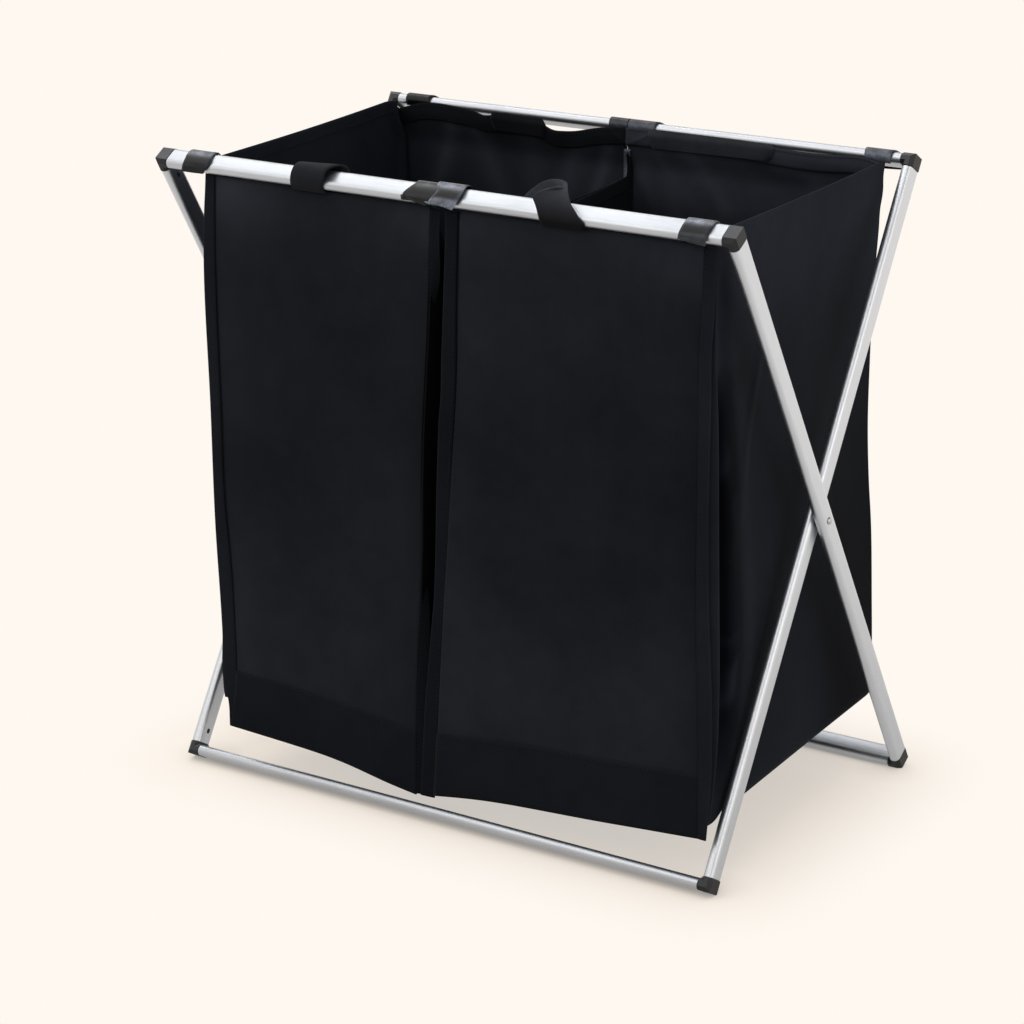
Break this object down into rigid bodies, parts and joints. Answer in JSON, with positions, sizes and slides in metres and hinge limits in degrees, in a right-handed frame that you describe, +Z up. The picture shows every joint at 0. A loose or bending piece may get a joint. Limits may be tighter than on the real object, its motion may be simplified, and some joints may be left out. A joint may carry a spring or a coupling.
{
  "type": "laundry hamper",
  "caption": "Folding laundry hamper: a scissor frame of flat oval tube carries two soft fabric bags side by side, hung by tabs from its top rails.",
  "frame": {"origin": "middle of the rectangle that the open hamper stands on, at floor level", "axes": "+Z up, X along the rails (left to right seen from the front), -Y towards the front"},
  "size_m": [0.5842, 0.3624, 0.5961],
  "materials": {
    "tube": "satin anodised",
    "corner": "fine grained black moulding",
    "rivet": "bright rivet",
    "washer": "matt",
    "tab": "coated black fabric, satin",
    "strap": "woven",
    "panel": "plain weave",
    "gusset": "plain weave"
  },
  "bodies": {
    "frame_outer": {"front_top_rail": "tube", "back_bottom_rail": "tube", "left_outer_leg": "tube", "right_outer_leg": "tube", "outer_elbow_top_left": "corner", "outer_elbow_top_right": "corner", "outer_elbow_bottom_left": "corner", "outer_elbow_bottom_right": "corner", "left_pivot_rivet": "rivet", "right_pivot_rivet": "rivet", "left_pivot_washer": "washer", "right_pivot_washer": "washer", "left_bag_front_left_tab": "tab", "left_bag_front_right_tab": "tab", "right_bag_front_left_tab": "tab", "right_bag_front_right_tab": "tab"},
    "frame_inner": {"back_top_rail": "tube", "front_bottom_rail": "tube", "left_inner_leg": "tube", "right_inner_leg": "tube", "inner_elbow_top_left": "corner", "inner_elbow_top_right": "corner", "inner_elbow_bottom_left": "corner", "inner_elbow_bottom_right": "corner", "left_bag_back_left_tab": "tab", "left_bag_back_right_tab": "tab", "right_bag_back_left_tab": "tab", "right_bag_back_right_tab": "tab"},
    "bag_fronts": {"left_bag_front": "panel", "right_bag_front": "panel", "left_bag_gusset": "gusset", "right_bag_gusset": "gusset", "left_front_handle": "strap", "right_front_handle": "strap"},
    "bag_backs": {"left_bag_back": "panel", "right_bag_back": "panel", "left_back_handle": "strap", "right_back_handle": "strap"}
  },
  "joints": [
    {"name": "fold", "type": "hinge", "parent": "frame_outer", "child": "frame_inner", "pos_m": [0, 0, 0.28774], "axis": [1, 0, 0], "range_deg": [0, 55], "deforming": ["left_bag_gusset", "right_bag_gusset"]},
    {"name": "front_hang", "type": "hinge", "parent": "frame_outer", "child": "bag_fronts", "pos_m": [0, -0.1685, 0.56774], "axis": [1, 0, 0], "range_deg": [0, 27.5]},
    {"name": "back_hang", "type": "hinge", "parent": "frame_inner", "child": "bag_backs", "pos_m": [0, 0.1685, 0.56774], "axis": [1, 0, 0], "range_deg": [-27.5, 0]}
  ],
  "couplings": [
    {"joint": "front_hang", "follows": "fold", "ratio": 0.5},
    {"joint": "back_hang", "follows": "fold", "ratio": -0.5}
  ]
}
